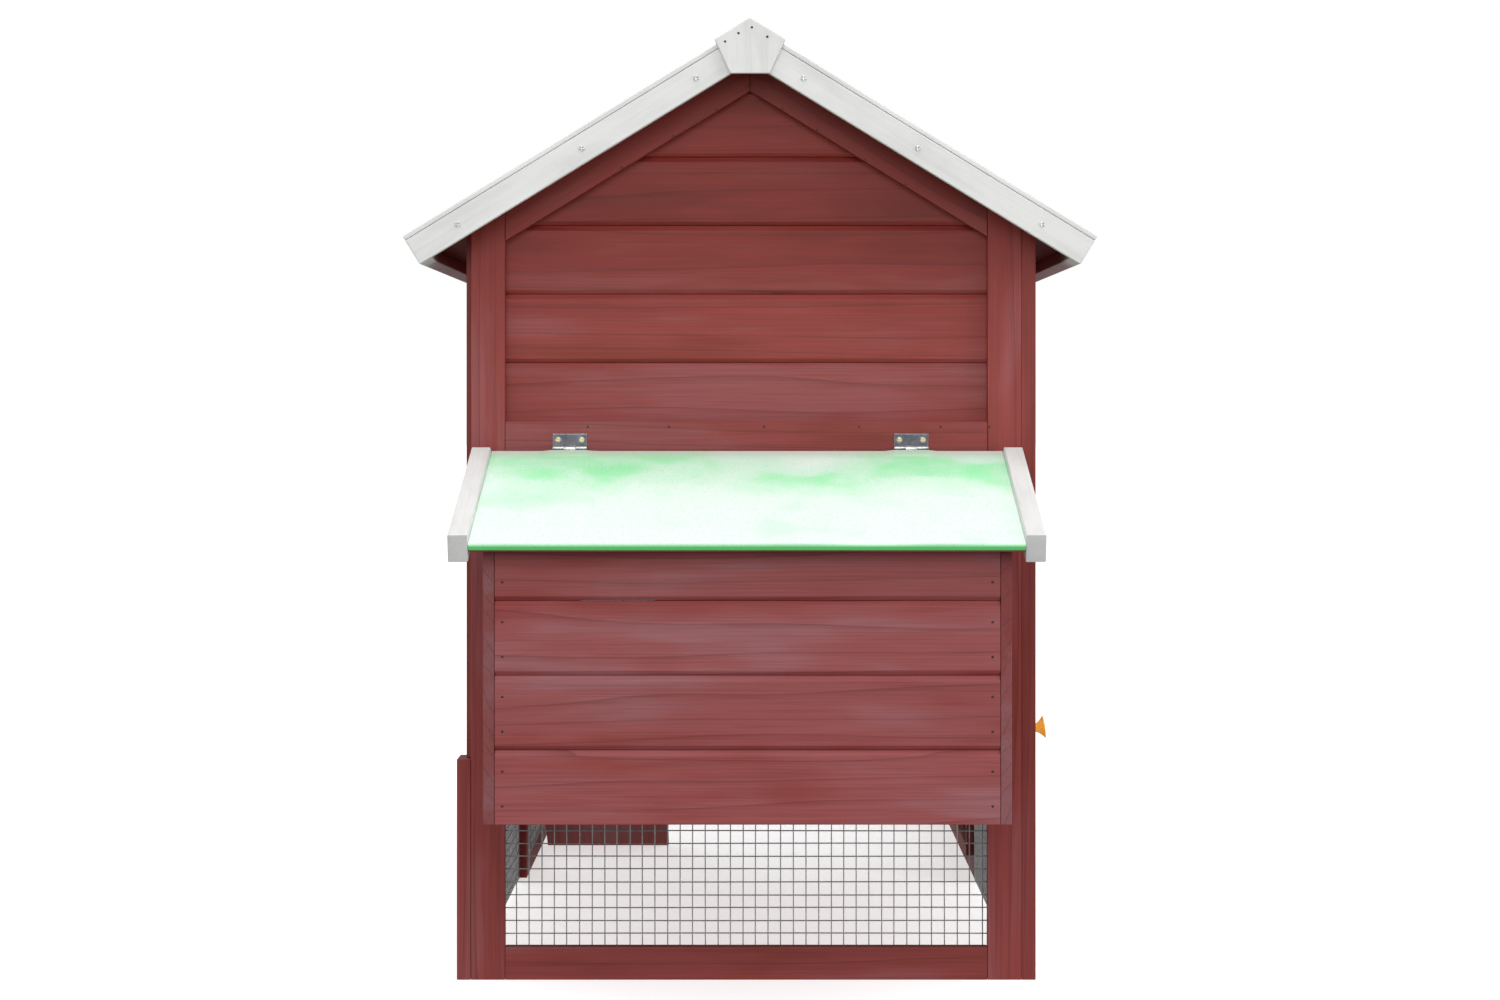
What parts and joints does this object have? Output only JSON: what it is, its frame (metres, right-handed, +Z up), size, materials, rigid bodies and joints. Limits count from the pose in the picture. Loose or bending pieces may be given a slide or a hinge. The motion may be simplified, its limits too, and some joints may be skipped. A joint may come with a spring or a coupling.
{
  "type": "chicken coop",
  "caption": "Gabled wooden coop: raised boarded house with hinged-lid nest box, ramp and pull-out tray, joined to a mesh run with its own door.",
  "frame": {"origin": "on the ground, in the middle of the coop's overall box", "axes": "+Z up; Y along the coop from the nest box (-Y) to the run's far end (+Y); +X towards the side with the doors and the tray"},
  "size_m": [0.7262, 1.9106, 1.0137],
  "materials": {
    "stain": "red translucent stain on softwood, matt",
    "white_paint": "white paint on softwood, matt",
    "roofing_felt": "pale green mineral felt, rough",
    "galvanised_wire": "galvanised, dull",
    "zinc": "bright zinc plate",
    "tray_zinc": "galvanised sheet with spangle",
    "knob_varnish": "orange varnish, glossy",
    "brass_screws": "yellow zinc plate"
  },
  "bodies": {
    "coop": {"near_end_frame": "stain", "near_end_boards": "stain", "near_end_mesh": "galvanised_wire", "far_end_frame": "stain", "far_end_boards": "stain", "far_end_mesh": "galvanised_wire", "front_frame": "stain", "front_low_mesh": "galvanised_wire", "door_stops": "stain", "back_wall_frame": "stain", "back_wall_boards": "stain", "back_low_frame": "stain", "back_low_mesh": "galvanised_wire", "run_back_frame": "stain", "run_back_mesh": "galvanised_wire", "partition_boards": "stain", "partition_battens": "stain", "floor_bearers": "stain", "floor_boards": "stain", "roof_deck_front": "stain", "roof_deck_back": "stain", "roof_felt_front": "roofing_felt", "roof_felt_back": "roofing_felt", "rafters": "stain", "barge_boards": "white_paint", "barge_covers": "white_paint", "fascias": "white_paint", "ridge_boards": "white_paint", "gable_caps": "white_paint", "nest_front": "stain", "nest_sides": "stain", "nest_floor": "stain", "nest_battens": "stain", "nest_divider": "stain", "roof_screws": "zinc", "nails": "zinc", "nest_hinge_leaves": "zinc", "door_hinge_leaves": "zinc", "ramp_hinge_leaves": "zinc", "ramp_ledge": "stain", "button_screws": "brass_screws"},
    "nest_lid": {"lid_board": "stain", "lid_felt": "roofing_felt", "lid_trims": "white_paint", "lid_battens": "stain", "lid_hinge_leaves": "zinc"},
    "house_door": {"house_door_frame": "stain", "house_door_boards": "stain", "house_door_leaves": "zinc"},
    "run_door": {"run_door_frame": "stain", "run_door_mesh": "galvanised_wire", "run_door_leaves": "zinc"},
    "tray": {"tray_pan": "tray_zinc", "tray_front": "stain", "tray_knobs": "knob_varnish"},
    "ramp": {"ramp_board": "stain", "ramp_leaves": "zinc"},
    "house_button": {"house_door_button": "stain"},
    "run_button": {"run_door_button": "stain"}
  },
  "joints": [
    {"name": "nest_lid_hinge", "type": "hinge", "parent": "coop", "child": "nest_lid", "pos_m": [-0.01, -0.65632, 0.563], "axis": [-1, 0, 0], "range_deg": [0, 85]},
    {"name": "house_door_hinge", "type": "hinge", "parent": "coop", "child": "house_door", "pos_m": [0.306, 0.03568, 0.523], "axis": [0, 0, 1], "range_deg": [0, 110]},
    {"name": "run_door_hinge", "type": "hinge", "parent": "coop", "child": "run_door", "pos_m": [0.306, 0.85768, 0.392], "axis": [0, 0, 1], "range_deg": [0, 110]},
    {"name": "tray_slide", "type": "slide", "parent": "coop", "child": "tray", "axis": [1, 0, 0], "range_m": [0, 0.45]},
    {"name": "ramp_hinge", "type": "hinge", "parent": "coop", "child": "ramp", "pos_m": [-0.1955, 0.06418, 0.246], "axis": [1, 0, 0], "range_deg": [0, 126]},
    {"name": "house_button_turn", "type": "hinge", "parent": "coop", "child": "house_button", "pos_m": [0.3073, -0.52332, 0.764], "axis": [1, 0, 0], "range_deg": [0, 90]},
    {"name": "run_button_turn", "type": "hinge", "parent": "coop", "child": "run_button", "pos_m": [0.3073, 0.06368, 0.523], "axis": [1, 0, 0], "range_deg": [0, 90]}
  ]
}
